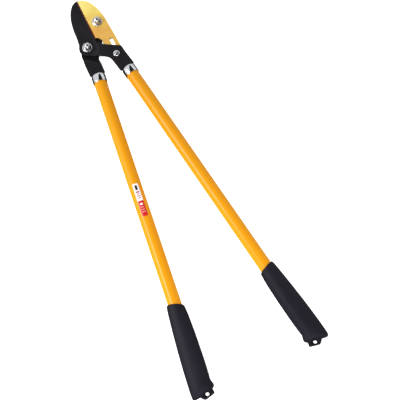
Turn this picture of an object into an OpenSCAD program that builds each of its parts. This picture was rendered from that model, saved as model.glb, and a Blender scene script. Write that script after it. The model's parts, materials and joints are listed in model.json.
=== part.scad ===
// Long-handled compound loppers: a curved blade closes on a brass-faced anvil jaw.
// The tool lies flat with its jaws closed. Millimetres; X across, +Y to the jaws, +Z up.
// The head is drawn round the cutting line: x = 0 along it, y = 0 at the main pivot,
// z = 0 at the axis of the handle tubes. place() then moves it all into the part's frame.

/* [Jaws] */
// Y of the tip of the closed jaws
tip_y = 91.5; // [80:1:110]
// Y of the lower end of the cutting edge
edge_y = 11.6; // [11:0.1:13]
// Y at which the closed jaws are widest
belly_y = 30; // [26:1:34]
// Width of the anvil jaw at the belly
jaw_w = 29; // [28:0.5:34]
// Width of the blade at the belly
blade_w = 31.2; // [29:0.1:34]
// Gap between the cutting edge and the anvil when closed
jaw_gap = 0.3; // [0.25:0.05:0.5]
// Thickness of the blade
blade_t = 4.6; // [3.6:0.1:5.6]
// Width of the bevel ground on the back of the cutting edge
bevel_w = 5; // [3:0.5:7]
// Width of the small bevel on its face
face_bevel_w = 1.2; // [0.5:0.1:2]
// Depth of the small bevel
face_bevel_d = 0.8; // [0.3:0.1:1.5]
// Thickness left at the cutting edge
edge_t = 0.6; // [0.3:0.1:1]
// Radius of the notch below the cutting edge
notch_r = 10.2; // [9.5:0.1:11]
// Thickness of the anvil strip
strip_t = 1.6; // [1:0.1:2.2]
// Depth of the tongue that holds the strip in the jaw
tongue_d = 2.5; // [1.5:0.1:4]
// Thickness of the tongue
tongue_t = 2; // [1.5:0.1:2.5]

/* [Arms] */
// Thickness of the pressed arms
arm_t = 5; // [4:0.1:6]
// Width of each arm where it meets its handle
arm_w = 27; // [23:0.5:30]
// Clearance between plates that slide over each other
plate_gap = 0.2; // [0.15:0.05:0.4]
// Clearance between the blade and the arms, each side
blade_gap = 0.4; // [0.2:0.05:0.6]
// Radius of the pivot lobe of the jaw arm
lobe_r = 14.5; // [13.5:0.1:16]
// Radius of the fixed arm round its pivots
hub_r = 12.5; // [11:0.1:13]
// Length of the jaw arm along its handle, from the pivot line
jaw_arm_len = 65; // [60:0.5:70]
// Length of the fixed arm along its handle, from the pivot line
fixed_arm_len = 56.5; // [52:0.5:60]

/* [Pivots] */
// Radius of the pivot bolts
bolt_r = 4; // [3:0.5:4.5]
// Radius of the heads of the pivot bolts
bolt_head_r = 8; // [7:0.5:10]
// Height of the heads of the pivot bolts
bolt_head_h = 4; // [3:0.5:6]
// Wall of the pivot bushes
bush_wall = 2; // [1.5:0.1:2.5]
// Radial clearance of every running fit
run_gap = 0.05; // [0.02:0.01:0.09]
// Width across the flats of the pivot nuts
nut_af = 13; // [12:0.5:15]
// Height of the hexagon of the pivot nuts
nut_h = 5.5; // [4:0.5:8]
// Radius of the dome of the pivot nuts
dome_r = 5.3; // [4.8:0.1:6]
// Radius of the pivot washers
washer_r = 8.8; // [8:0.1:9.5]
// Thickness of the pivot washers
washer_t = 1.6; // [1:0.1:2]
// Width of the slot in the blade
slot_w = 6.7; // [6:0.1:8]
// Clearance between the guide roller and the slot, each side
slot_gap = 0.1; // [0.08:0.01:0.2]
// Radius of the shank of the guide screw
guide_r = 2.25; // [1.8:0.05:2.4]
// Radius of the head of the guide screw
guide_head_r = 5.75; // [5:0.25:7]
// Height of the head of the guide screw
guide_head_h = 3; // [2:0.25:4]
// Width across the flats of the guide nut
guide_nut_af = 8; // [7:0.5:9]
// Height of the guide nut
guide_nut_h = 3.2; // [2.5:0.1:4]
// Radius of the washer behind the blade
guide_washer_r = 6; // [5:0.25:7]
// Thickness of the washer behind the blade
guide_washer_t = 1.2; // [0.8:0.1:1.5]

/* [Handles] */
// Outside diameter of the handle tubes
tube_od = 22; // [18:0.5:26]
// Wall of the handle tubes
tube_wall = 1.5; // [1:0.1:2]
// Distance along each handle from the pivot line to the end of its grip
handle_len = 626.5; // [520:1:760]
// Angle of each handle from the cutting line, jaws closed
splay = 7.2; // [6:0.1:9]
// Half the distance between the handle axes at the pivot line
handle_x = 18.4; // [17:0.2:20]
// Length of the ferrules
ferrule_len = 16; // [12:0.5:20]
// Wall of the ferrules
ferrule_wall = 1.2; // [0.8:0.1:2]
// Radius of the shoulder of the ferrules
shoulder_r = 4; // [2:0.5:5]
// Width of the tang of each arm
tang_w = 14; // [10:0.5:15]
// Length of the tang of each arm inside the handle
tang_len = 48; // [40:1:60]
// Length of the insert that holds the tang
insert_len = 56; // [50:1:70]
// Radius of the pin through the tang
tang_pin_r = 2.5; // [2:0.25:3]
// Length of the plug in the far end of each tube
plug_len = 18; // [12:1:25]

/* [Grips] */
// Length of the left grip along its handle
left_grip_len = 147; // [120:1:180]
// Length of the right grip along its handle
right_grip_len = 140; // [120:1:180]
// Rubber beyond the far end of the tube
grip_cap = 15; // [12:1:20]
// Slant of the upper rim of the grips
rim_slant = 15; // [0:1:20]
// Slant of the closed end of the grips
end_slant = 16; // [0:1:18]
// Radius of the hanging hole
hang_r = 3; // [2.5:0.25:3.5]
// Thickness of the hanging lug
lug_t = 9; // [8:0.5:12]
// Depth of the oblong pocket round the hole, on each face of the lug
pocket_d = 1.5; // [1:0.1:2]
// Width of the pocket beyond the hole
pocket_wall = 0.8; // [0.5:0.1:1]
// Length of the straight part of the pocket
pocket_run = 5; // [3:0.5:6]

/* [Label] */
// Distance along the left handle to the start of the wrapped band
label_start = 268; // [120:1:320]
// Length of the band
label_len = 58; // [40:1:80]
// Width of the band across the tube
label_w = 9.2; // [6:0.2:14]
// Thickness of the band
label_t = 0.2; // [0.1:0.05:0.4]

/* [Hidden] */
$fn = 96;

// Pivots, from above: the main pivot, the blade's pivot, and the guide screw in its slot
main_pivot = [-20.5, 0];
blade_pivot = [14.6, 39];
guide_at = [19.6, -33.5];
notch_at = [-1.2, 1.4];
open_max = 40;        // how far the jaw arm opens, degrees
blade_ratio = 0.29;   // degrees the blade turns for each degree of the jaw arm
turn_step = 4;        // degrees between the points of the slot

// Heights of the plates, from the room between the two arms down, and of what is stacked on them
back_top = -arm_t / 2 - max(arm_t + 2 * plate_gap, blade_t + 2 * blade_gap);
back_z = back_top - arm_t / 2;
back_low = back_top - arm_t;
jaw_z = back_top + plate_gap + arm_t / 2;
jaw_top = jaw_z + arm_t / 2;
blade_low = back_top + blade_gap;
blade_top = blade_low + blade_t;
bush_r = bolt_r + bush_wall;
roller_r = slot_w / 2 - slot_gap;
slip = 0.1;           // clearance of holes and slots that only locate a part
lead = 1;             // how far cutters run past what they cut

// The joggles: fold direction, and where each fold starts and ends along it
jaw_fold = [-24.9, 12.2, 19.1];
back_fold = [-128, lobe_r + 2, lobe_r + 12.5];

// Handles
tube_r = tube_od / 2;
tube_ir = tube_r - tube_wall;
ferrule_r = tube_r + ferrule_wall;
ferrule_cap = 1.6;
fixed_start = fixed_arm_len + slip;
jaw_start = jaw_arm_len + slip;
tube_end = handle_len - grip_cap;

// Grip sections: share of the length plus a distance, then rubber beyond the tube on the
// outer side, on the inner side and above and below
grip_rows = [[0, 0, 1.8, 1.8, 1.8], [0, 2, 2.8, 2.8, 2.6], [0.18, 0, 5.3, 4.5, 3.4], [0.4, 0, 7.6, 5.2, 4.2],
             [0.62, 0, 9.2, 5.3, 4.9], [0.8, 0, 10, 4.7, 5.2], [1, -18, 10.2, 4.1, 5.2], [1, -9, 10.3, 6.4, 4.6],
             [1, -5, 10.1, 7, 3.6], [1, -2, 9.2, 5.6, 0.8], [1, 0, 7, 2.5, -5.5]];
grip_sides = 28;
grip_top_z = 5.2;     // the most rubber above the tube

// The hanging lug, inwards of the handle's axis and along it from the end of the grip
hang_at = [3.6, 1.2];
lug_corners = [[-10, 1], [-2, 9, 3], [15.2, 3, 1.5], [14, -3], [13, -12], [-10, -12]];
lug_turn = -19;       // direction of the lug's outer edge

// ---- Geometry helpers ----
function unit(v) = v / norm(v);
function turned(p, a) = [p.x * cos(a) - p.y * sin(a), p.x * sin(a) + p.y * cos(a)];
function on_circle(c, r, a) = [c.x + r * cos(a), c.y + r * sin(a)];
function arc(c, r, a0, a1, n = 16) = [for (i = [0:n]) on_circle(c, r, a0 + (a1 - a0) * i / n)];

// Points of a corner at b, between a and c, rounded to radius r where its sides allow
function fillet(a, b, c, r, n = 6) =
    let (u = unit(a - b), v = unit(c - b), half = acos(u * v) / 2,
         t = min(r / tan(half), 0.48 * norm(a - b), 0.48 * norm(c - b)), q = t * tan(half),
         m = b + unit(u + v) * q / sin(half), s = b + u * t - m,
         a0 = atan2(s.y, s.x), sweep = (180 - 2 * half) * (cross(u, v) < 0 ? 1 : -1))
    [for (i = [0:n]) on_circle(m, q, a0 + sweep * i / n)];

// Outline from corners [x, y, radius]; a corner without a radius stays sharp
function flat(p) = [p.x, p.y];
function outline(P) = [for (i = [0:len(P) - 1]) let (n = len(P), b = P[i])
    each len(b) < 3 ? [b] : fillet(flat(P[(i + n - 1) % n]), flat(b), flat(P[(i + 1) % n]), b.z)];

// A point on a handle: u along it, w inwards of its axis; side is -1 on the left, 1 on the right
function on_grip(side, u, w) =
    [side * (handle_x + u * sin(splay) - w * cos(splay)), -u * cos(splay) - w * sin(splay)];

// The lowest point of the tool sits on z = 0, and the box round it is centred on x and y
lug_outline = outline(lug_corners);
low_y = min([for (p = lug_outline) on_grip(1, handle_len + p.y, p.x).y]);
place_at = [0, -(tip_y + low_y) / 2, max(bolt_head_h - back_low, tube_r + grip_top_z)];

// Outer edge of a closed jaw of width w above the belly: its y at x, and the arc from x0 to the belly
jaw_rise = tip_y - belly_y;
function jaw_y(x, w) = belly_y + jaw_rise * sqrt(1 - pow(x / w, 2));
function jaw_arc(x0, w) = let (a0 = acos(x0 / w))
    [for (i = [0:20]) let (a = a0 * (1 - i / 20)) [w * cos(a), belly_y + jaw_rise * sin(a)]];

// Where the guide screw stands in the blade's own frame when the jaw arm has turned by a
function slot_at(a) = blade_pivot + turned(
    main_pivot + turned(guide_at - main_pivot, a) - blade_pivot, -blade_ratio * a);
slot_path = [for (a = [0:turn_step:open_max]) slot_at(a)];
function slot_side(i, w) = let (n = len(slot_path) - 1,
    d = unit(slot_path[min(i + 1, n)] - slot_path[max(i - 1, 0)])) slot_path[i] + w * [-d.y, d.x];

function rev(P) = [for (i = [len(P) - 1:-1:0]) P[i]];

// ---- Shared shapes ----
module place() translate(place_at) children();
module at(p, z = 0) translate([p.x, p.y, z]) children();

// Children drawn with +X inwards and +Z away from the head along the handle's axis
module on_handle(side, u = 0) mirror([side > 0 ? 1 : 0, 0, 0]) translate([-handle_x, 0, 0])
    rotate([0, 0, -splay]) rotate([90, 0, 0]) translate([0, 0, u]) children();

module disc(r, h, z = 0) translate([0, 0, z]) cylinder(r = r, h = h);
module tube(r, bore, h, z = 0) difference() {
    disc(r, h, z);
    disc(bore, h + 2 * lead, z - lead);
}

// A plate of even thickness that climbs from z0 to z1 between two folds, seen along the folds
module joggled(fold, z0, z1, reach = 200) {
    run = fold[2] - fold[1];
    k = arm_t / 2 * tan(atan2(z1 - z0, run) / 2);
    h = arm_t / 2;
    at(main_pivot) rotate([0, 0, fold[0]]) rotate([90, 0, 0])
        linear_extrude(2 * reach, center = true)
            polygon([[-reach, z0 - h], [fold[1] + k, z0 - h], [fold[2] + k, z1 - h], [reach, z1 - h],
                     [reach, z1 + h], [fold[2] - k, z1 + h], [fold[1] - k, z0 + h], [-reach, z0 + h]]);
}

// The tang: a tongue of the arm that runs into its handle, as corners of the arm's outline
function tang_corners(side, arm_len) = [for (c = [[0, 1], [1, 1], [1, -1], [0, -1]])
    on_grip(side, arm_len + c.x * (slip + tang_len), side * c.y * tang_w / 2)];
module pin_hole(side, start, r) on_handle(side, start + ferrule_len / 2)
    rotate([90, 0, 0]) cylinder(r = r, h = 4 * tube_od, center = true);

// ---- Head ----
module left_arm() color("#262428") place() difference() {
    intersection() {
        translate([0, 0, -tube_od]) linear_extrude(2 * tube_od) polygon(outline(concat(
            [[-35.1, -6, 8], [-37.9, -28, 20],
             concat(on_grip(-1, fixed_arm_len - 3, -arm_w / 2), 3),
             concat(on_grip(-1, fixed_arm_len, -arm_w / 2 + 2), 2)],
            tang_corners(-1, fixed_arm_len),
            [concat(on_grip(-1, fixed_arm_len, arm_w / 2), 3), [-10.7, -24, 12], [6.6, 0.8, 30]],
            arc(blade_pivot, hub_r, -30, 131),
            arc(main_pivot, hub_r, 139, 185))));
        joggled(back_fold, back_z, 0);
    }
    at(main_pivot) disc(bolt_r + slip, 2 * tube_od, -tube_od);
    at(blade_pivot) disc(bolt_r + slip, 2 * tube_od, -tube_od);
    pin_hole(-1, fixed_start, tang_pin_r);
}

strip_back = -jaw_gap / 2 - strip_t;
module jaw_arm() color("#262428") place() difference() {
    intersection() {
        translate([0, 0, -tube_od]) linear_extrude(2 * tube_od) polygon(outline(concat(
            [for (p = jaw_arc(-strip_back, jaw_w)) [-p.x, p.y]],
            arc(main_pivot, lobe_r, 140, 256),
            [[-18.8, -17.9, 6], [-0.7, -27.8, 8], [6.1, -33.7, 8], [8.6, -40, 20],
             concat(on_grip(1, jaw_arm_len, arm_w / 2), 3)],
            tang_corners(1, jaw_arm_len),
            [concat(on_grip(1, jaw_arm_len, -arm_w / 2), 3),
             [35.1, -37, 30], [33.3, -22.9, 2], [7.2, -7.6, 16], [-2.8, 1.6, 4],
             [strip_back, edge_y]])));
        joggled(jaw_fold, jaw_z, 0);
    }
    at(main_pivot) disc(bush_r + run_gap, 2 * tube_od, -tube_od);
    at(guide_at) disc(guide_r, 2 * tube_od, -tube_od);
    pin_hole(1, jaw_start, tang_pin_r);
    strip_tongue(slip / 2);
}

// The tongue behind the anvil strip, grown all round for its groove
module strip_tongue(grow = 0)
    translate([strip_back - tongue_d - grow, edge_y + 4 - grow, jaw_z - tongue_t / 2 - grow])
        cube([tongue_d + grow + (grow > 0 ? lead : 0), tip_y - edge_y - 16 + 2 * grow, tongue_t + 2 * grow]);

module anvil_strip() color("#8a4a2a") place() union() {
    translate([0, 0, jaw_z - arm_t / 2]) linear_extrude(arm_t) polygon([[strip_back, edge_y],
        [-jaw_gap / 2, edge_y], [-jaw_gap / 2, jaw_y(jaw_gap / 2, jaw_w)], [strip_back, jaw_y(strip_back, jaw_w)]]);
    strip_tongue();
}

module cutting_blade() color("#ecc85f") place() {
    edge_x = jaw_gap / 2;
    tail_x = notch_at.x + notch_r - 0.6;      // the tail's inner side runs down just inside the notch
    tail_r = guide_at.x - tail_x;
    difference() {
        translate([0, 0, blade_low]) linear_extrude(blade_t) polygon(concat(
            [[edge_x, notch_at.y], [tail_x, notch_at.y]], arc(guide_at, tail_r, 180, 360),
            [[33.6, -20.6]], rev(jaw_arc(edge_x, blade_w))));
        at(notch_at, blade_low - lead) disc(notch_r, blade_t + 2 * lead);
        // The cutting edge: a small bevel on the face and a long one on the back
        rotate([90, 0, 0]) linear_extrude(4 * tip_y, center = true) {
            face_z = blade_top - face_bevel_d;
            polygon([[edge_x, face_z], [edge_x + face_bevel_w, blade_top], [edge_x + face_bevel_w, blade_top + lead],
                     [edge_x - lead, blade_top + lead], [edge_x - lead, face_z]]);
            polygon([[edge_x, face_z - edge_t], [edge_x + bevel_w, blade_low], [edge_x + bevel_w, blade_low - lead],
                     [edge_x - lead, blade_low - lead], [edge_x - lead, face_z - edge_t]]);
        }
        at(blade_pivot, blade_low - lead) disc(bush_r + run_gap, blade_t + 2 * lead);
        // The guide slot, with round ends
        translate([0, 0, blade_low - lead]) linear_extrude(blade_t + 2 * lead) polygon(concat(
            [for (i = [0:len(slot_path) - 1]) slot_side(i, -slot_w / 2)],
            [for (i = [len(slot_path) - 1:-1:0]) slot_side(i, slot_w / 2)]));
        for (end = [slot_path[0], slot_path[len(slot_path) - 1]])
            at(end, blade_low - lead) disc(slot_w / 2, blade_t + 2 * lead);
    }
}

// ---- Pivots ----
// Bolt with a low round head under the fixed arm
module pivot_bolt(p, top) color("silver") place() at(p) union() {
    rotate_extrude() polygon(concat([[0, back_low - bolt_head_h], [bolt_head_r - 2, back_low - bolt_head_h]],
        arc([bolt_head_r - 2, back_low - bolt_head_h + 2], 2, -90, 0, 6), [[bolt_head_r, back_low], [0, back_low]]));
    disc(bolt_r, top + washer_t + nut_h - back_low, back_low);
}
module pivot_bush(p, top) color("#b08d4f") place() at(p) tube(bush_r, bolt_r, top - back_top, back_top);
module pivot_washer(p, top) color("silver") place() at(p) tube(washer_r, bolt_r + slip, washer_t, top);

// Domed nut: a hexagon under a round cap, with a blind bore for the bolt
module pivot_nut(p, top) color("silver") place() at(p, top + washer_t) difference() {
    union() {
        cylinder(r = nut_af / 2 / cos(30), h = nut_h, $fn = 6);
        rotate_extrude() polygon(concat([[0, 0]], [[dome_r, 0], [dome_r, nut_h + 1]],
            [for (a = [10:10:90]) [dome_r * cos(a), nut_h + 1 + 0.85 * dome_r * sin(a)]]));
    }
    disc(bolt_r, nut_h + lead, -lead);
}
main_top = jaw_top + plate_gap;
blade_stack_top = blade_top + plate_gap;

// The guide screw holds the roller between the jaw arm and a washer behind the blade
roller_top = -arm_t / 2 - slip;
roller_low = blade_low - plate_gap;
washer_top = roller_low - slip;
module guide_screw() color("silver") place() at(guide_at) difference() {
    union() {
        rotate_extrude() polygon(concat([[0, arm_t / 2], [guide_head_r, arm_t / 2], [guide_head_r, arm_t / 2 + 1]],
            [for (a = [15:15:90]) [guide_head_r * cos(a), arm_t / 2 + 1 + (guide_head_h - 1) * sin(a)]]));
        disc(guide_r, arm_t / 2 - washer_top, washer_top);
        disc(guide_r - 0.25, guide_washer_t + guide_nut_h + 1, washer_top - guide_washer_t - guide_nut_h - 1);
    }
    translate([0, 0, arm_t / 2 + guide_head_h]) rotate([0, 0, 10]) cube([3 * guide_head_r, 1.5, 2.6], center = true);
}
module guide_roller() color("#8f8f92") place() at(guide_at)
    tube(roller_r, guide_r + run_gap, roller_top - roller_low, roller_low);
module guide_washer() color("silver") place() at(guide_at)
    tube(guide_washer_r, guide_r - 0.25, guide_washer_t, washer_top - guide_washer_t);
module guide_nut() color("silver") place() at(guide_at, washer_top - guide_washer_t - guide_nut_h) difference() {
    cylinder(r = guide_nut_af / 2 / cos(30), h = guide_nut_h, $fn = 6);
    disc(guide_r - 0.25, guide_nut_h + 2 * lead, -lead);
}

// ---- Handles ----
// Thimble with a rounded shoulder, slotted for the tang
module ferrule(side, start) color("#d8dade") place() on_handle(side, start) difference() {
    rotate_extrude() polygon(concat([[0, 0], [ferrule_r - shoulder_r, 0]],
        arc([ferrule_r - shoulder_r, shoulder_r], shoulder_r, -90, 0, 8),
        [[ferrule_r, ferrule_len - 0.6], [ferrule_r - 0.6, ferrule_len], [0, ferrule_len]]));
    disc(tube_r, ferrule_len + lead, ferrule_cap);
    cube([tang_w + slip, arm_t + slip, 4 * ferrule_cap], center = true);
}
module handle_tube(side, start) color("#f5a000") place() difference() {
    on_handle(side, start + ferrule_cap) tube(tube_r, tube_ir, tube_end - start - ferrule_cap);
    pin_hole(side, start, tang_pin_r);
}
module tang_insert(side, start) color("#3a3a3a") place() difference() {
    on_handle(side, start + ferrule_cap) difference() {
        disc(tube_ir, insert_len);
        translate([-tang_w / 2 - slip / 2, -arm_t / 2 - slip / 2, -lead])
            cube([tang_w + slip, arm_t + slip, tang_len - ferrule_cap + lead + slip]);
    }
    pin_hole(side, start, tang_pin_r);
}
module tang_pin(side, start) color("silver") place() on_handle(side, start + ferrule_len / 2)
    rotate([90, 0, 0]) cylinder(r = tang_pin_r, h = tube_od - 1, center = true);
module tube_plug(side) color("#3a3a3a") place() on_handle(side, tube_end - plug_len) disc(tube_ir, plug_len);

// Band wrapped on the upper side of the left tube
label_half = asin(label_w / 2 / tube_r);
module tube_label() color("#c31f1f") place() on_handle(-1, label_start)
    rotate([0, 0, 90 - label_half]) rotate_extrude(angle = 2 * label_half)
        translate([tube_r, 0]) square([label_t, label_len]);

// ---- Grips ----
// One ring of the grip: an oval whose outer and inner halves have their own widths,
// slanted at the rim and, the other way, at the closed end
function grip_ring(row, length) = let (along = row[0] * length + row[1], t = along / length,
    slant = tan(rim_slant) * max(0, 1 - t / 0.4) - tan(end_slant) * max(0, 5 * t - 4))
    [for (i = [0:grip_sides - 1]) let (a = 360 * i / grip_sides,
        x = (tube_r + (cos(a) > 0 ? row[3] : row[2])) * cos(a))
        [x, (tube_r + row[4]) * sin(a), handle_len - length + along + x * slant]];
grip_faces = let (n = grip_sides, m = len(grip_rows)) concat(
    [[for (i = [0:n - 1]) i]], [[for (i = [n - 1:-1:0]) (m - 1) * n + i]],
    [for (j = [0:m - 2]) for (i = [0:n - 1]) let (k = (i + 1) % n)
        [j * n + i, (j + 1) * n + i, (j + 1) * n + k, j * n + k]]);

// Children drawn in the lug's plane, with +Y away from the head and thickness along +Z
module in_lug(side) on_handle(side, handle_len) rotate([90, 0, 0]) children();

module grip(side, length) color("#2c2932") place() difference() {
    union() {
        on_handle(side) polyhedron([for (row = grip_rows) each grip_ring(row, length)], grip_faces, convexity = 4);
        in_lug(side) linear_extrude(lug_t, center = true) polygon(lug_outline);
    }
    on_handle(side, handle_len - length - tube_od) disc(tube_r, tube_end - handle_len + length + tube_od);
    in_lug(side) translate([hang_at.x, hang_at.y, 0]) {
        cylinder(r = hang_r, h = 4 * lug_t, center = true);
        // The pocket on each face, along the lug's outer edge
        for (face = [0, 1]) mirror([0, 0, face]) rotate([0, 0, lug_turn])
            translate([0, 0, lug_t / 2 - pocket_d]) {
                for (end = [-1, 1]) translate([end * pocket_run / 2, 0, 0])
                    cylinder(r = hang_r + pocket_wall, h = lug_t);
                translate([-pocket_run / 2, -hang_r - pocket_wall, 0])
                    cube([pocket_run, 2 * (hang_r + pocket_wall), lug_t]);
            }
    }
}

left_arm();
jaw_arm();
anvil_strip();
cutting_blade();
pivot_bolt(main_pivot, main_top);  // main_pivot_bolt
pivot_bush(main_pivot, main_top);  // main_pivot_bush
pivot_washer(main_pivot, main_top);  // main_pivot_washer
pivot_nut(main_pivot, main_top);  // main_pivot_nut
pivot_bolt(blade_pivot, blade_stack_top);  // blade_pivot_bolt
pivot_bush(blade_pivot, blade_stack_top);  // blade_pivot_bush
pivot_washer(blade_pivot, blade_stack_top);  // blade_pivot_washer
pivot_nut(blade_pivot, blade_stack_top);  // blade_pivot_nut
guide_screw();
guide_roller();
guide_washer();
guide_nut();
ferrule(-1, fixed_start);  // left_ferrule
ferrule(1, jaw_start);  // right_ferrule
tang_insert(-1, fixed_start);  // left_tang_insert
tang_insert(1, jaw_start);  // right_tang_insert
tang_pin(-1, fixed_start);  // left_tang_pin
tang_pin(1, jaw_start);  // right_tang_pin
handle_tube(-1, fixed_start);  // left_tube
handle_tube(1, jaw_start);  // right_tube
tube_plug(-1);  // left_tube_plug
tube_plug(1);  // right_tube_plug
grip(-1, left_grip_len);  // left_grip
grip(1, right_grip_len);  // right_grip
tube_label();
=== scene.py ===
import json
import math

import bmesh
import bpy
import numpy as np
from mathutils import Matrix, Vector

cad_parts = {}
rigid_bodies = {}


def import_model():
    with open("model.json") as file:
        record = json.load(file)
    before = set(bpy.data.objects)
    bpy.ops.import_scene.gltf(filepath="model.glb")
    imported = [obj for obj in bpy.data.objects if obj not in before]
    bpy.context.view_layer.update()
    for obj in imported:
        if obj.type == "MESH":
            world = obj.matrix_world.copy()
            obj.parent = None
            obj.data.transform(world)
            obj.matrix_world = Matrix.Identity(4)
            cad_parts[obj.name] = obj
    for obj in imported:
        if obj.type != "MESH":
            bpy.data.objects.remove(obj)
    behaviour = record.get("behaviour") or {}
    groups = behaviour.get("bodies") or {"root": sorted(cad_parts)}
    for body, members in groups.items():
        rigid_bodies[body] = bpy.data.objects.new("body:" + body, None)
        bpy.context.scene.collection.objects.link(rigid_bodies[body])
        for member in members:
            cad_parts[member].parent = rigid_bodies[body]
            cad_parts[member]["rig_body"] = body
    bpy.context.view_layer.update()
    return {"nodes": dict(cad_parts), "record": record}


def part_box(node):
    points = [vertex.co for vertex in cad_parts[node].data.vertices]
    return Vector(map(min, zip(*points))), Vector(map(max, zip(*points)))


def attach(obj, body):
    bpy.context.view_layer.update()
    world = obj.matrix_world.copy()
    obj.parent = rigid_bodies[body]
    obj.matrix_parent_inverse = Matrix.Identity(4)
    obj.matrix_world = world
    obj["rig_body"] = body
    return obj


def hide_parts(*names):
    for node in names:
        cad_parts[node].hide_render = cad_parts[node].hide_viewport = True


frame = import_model()
nodes = frame["nodes"]
jointAt = {j["name"]: np.array(j["pos_m"]) for j in frame["record"]["behaviour"]["joints"]}
mm = 0.001
print("frame loaded:", len(nodes), "nodes")

# The head's centre: on the cutting line beside the main pivot, at the height of the handle tubes' axes
plates = {"mainPivot": (-20.5, 0.0, -5.2), "backLow": -12.9, "jawTop": -2.7, "bladeTop": -2.9,
          "armTop": 2.5, "runGap": 0.2}
headAt = jointAt["handle_pivot"] - mm * np.array(plates["mainPivot"])
pivotAt = {"main": jointAt["handle_pivot"], "blade": jointAt["blade_turn"], "guide": jointAt["roller_spin"]}

# camera, floor and light
viewSettings = {
    # from the head's centre: a point between the handles, at their axes' height
    "target": (0.0334, -0.3339, 0.0),
    "distance": 1.76,
    "tilt": 19.0,   # degrees from straight down, towards the grips
    "turn": 25.75,  # degrees that the tool is turned in the picture
    "lens": 97.0,
}
lookAt = Vector(headAt) + Vector(viewSettings["target"])


def viewAxes(s):
    # right, up and away: the away axis is tilted off +Z towards the grips, then turned about +Z
    tilt, turn = math.radians(s["tilt"]), math.radians(s["turn"])
    away = Vector((-math.sin(turn) * math.sin(tilt), -math.cos(turn) * math.sin(tilt), math.cos(tilt)))
    up = Vector((math.sin(turn) * math.cos(tilt), math.cos(turn) * math.cos(tilt), math.sin(tilt)))
    return up.cross(away), up, away


def addCamera(s):
    right, up, away = viewAxes(s)
    data = bpy.data.cameras.new("camera")
    data.lens = s["lens"]
    data.sensor_width = 36.0
    camera = bpy.data.objects.new("camera", data)
    camera.matrix_world = Matrix((right, up, away)).transposed().to_4x4()
    camera.location = lookAt + away * s["distance"]
    bpy.context.scene.collection.objects.link(camera)
    bpy.context.scene.camera = camera


# Places of lights and boards are metres to the right of, above and away from the point that is looked at
studioSettings = {
    "world": 0.86,
    "floorGlow": 0.8,  # the light table under the tool, which leaves almost no shadow
    "lights": {
        "key": {"size": 0.5, "power": 16.0, "at": (-1.3, 0.2, 1.0)},
        "low": {"size": 0.8, "power": 8.0, "at": (0.2, -1.1, 1.1)},
    },
    "boards": {
        "overhead": {"size": (1.5, 3.4), "at": (0.1, 0.75, 1.65), "shade": "#17181b"},
        "side": {"size": (1.2, 3.0), "at": (1.75, 0.2, 0.7), "shade": "#6e7078"},
    },
}


def studioPoint(at):
    right, up, away = viewAxes(viewSettings)
    return lookAt + right * at[0] + up * at[1] + away * at[2]


def addLight(name, s):
    data = bpy.data.lights.new(name, "AREA")
    data.size = s["size"]
    data.energy = s["power"]
    light = bpy.data.objects.new(name, data)
    light.location = studioPoint(s["at"])
    light.rotation_euler = (light.location - lookAt).to_track_quat("Z", "Y").to_euler()
    bpy.context.scene.collection.objects.link(light)


def linear(code):
    # sRGB hex to linear light: c / 12.92 below 0.04045, else ((c + 0.055) / 1.055) ** 2.4
    c = np.array([int(code[i:i + 2], 16) for i in (1, 3, 5)]) / 255
    return (*np.where(c <= 0.04045, c / 12.92, ((c + 0.055) / 1.055) ** 2.4).tolist(), 1.0)


def addNode(tree, kind, settings, inputs):
    # a node with its own settings, whose inputs are given as values or as sockets to link
    n = tree.nodes.new(kind)
    for key, value in settings.items():
        setattr(n, key, value)
    for key, value in inputs.items():
        if isinstance(value, bpy.types.NodeSocket):
            tree.links.new(value, n.inputs[key])
        else:
            n.inputs[key].default_value = value
    return n


def newMaterial(name, **inputs):
    material = bpy.data.materials.new(name)
    material.use_nodes = True
    shader = material.node_tree.nodes["Principled BSDF"]
    for key, value in inputs.items():
        shader.inputs[key.replace("_", " ")].default_value = value
    return material, material.node_tree, shader


def addBoard(name, s):
    # a flat card that only mirrors see: it darkens reflections and neither lights nor shades the tool
    w, h = s["size"][0] / 2, s["size"][1] / 2
    mesh = bpy.data.meshes.new(name)
    mesh.from_pydata([(-w, -h, 0), (w, -h, 0), (w, h, 0), (-w, h, 0)], [], [(0, 1, 2, 3)])
    board = bpy.data.objects.new(name, mesh)
    board.location = studioPoint(s["at"])
    board.rotation_euler = (board.location - lookAt).to_track_quat("Z", "Y").to_euler()
    board.visible_camera = False
    board.visible_diffuse = False
    board.visible_shadow = False
    board.data.materials.append(newMaterial("card_" + name, Base_Color=(0, 0, 0, 1), Roughness=1.0,
                                            Emission_Color=linear(s["shade"]), Emission_Strength=1.0)[0])
    bpy.context.scene.collection.objects.link(board)


addCamera(viewSettings)
for lightName, lightSettings in studioSettings["lights"].items():
    addLight(lightName, lightSettings)
for boardName, boardSettings in studioSettings["boards"].items():
    addBoard(boardName, boardSettings)
world = bpy.data.worlds.new("studio")
bpy.context.scene.world = world
world.use_nodes = True
background = world.node_tree.nodes["Background"]
background.inputs["Strength"].default_value = studioSettings["world"]
# white down to the horizon and dark below it, where only mirrors look: the direction's z, from 0 to 1
skyAxes = addNode(world.node_tree, "ShaderNodeSeparateXYZ", {},
                  {"Vector": addNode(world.node_tree, "ShaderNodeTexCoord", {}, {}).outputs["Generated"]})
sky = addNode(world.node_tree, "ShaderNodeMapRange", {},
              {"Value": skyAxes.outputs["Z"], "From Min": -0.3, "From Max": -0.03, "To Min": 0.03,
               "To Max": 1.0})
world.node_tree.links.new(sky.outputs["Result"], background.inputs["Color"])
bpy.context.scene.view_settings.view_transform = "Standard"

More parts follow.
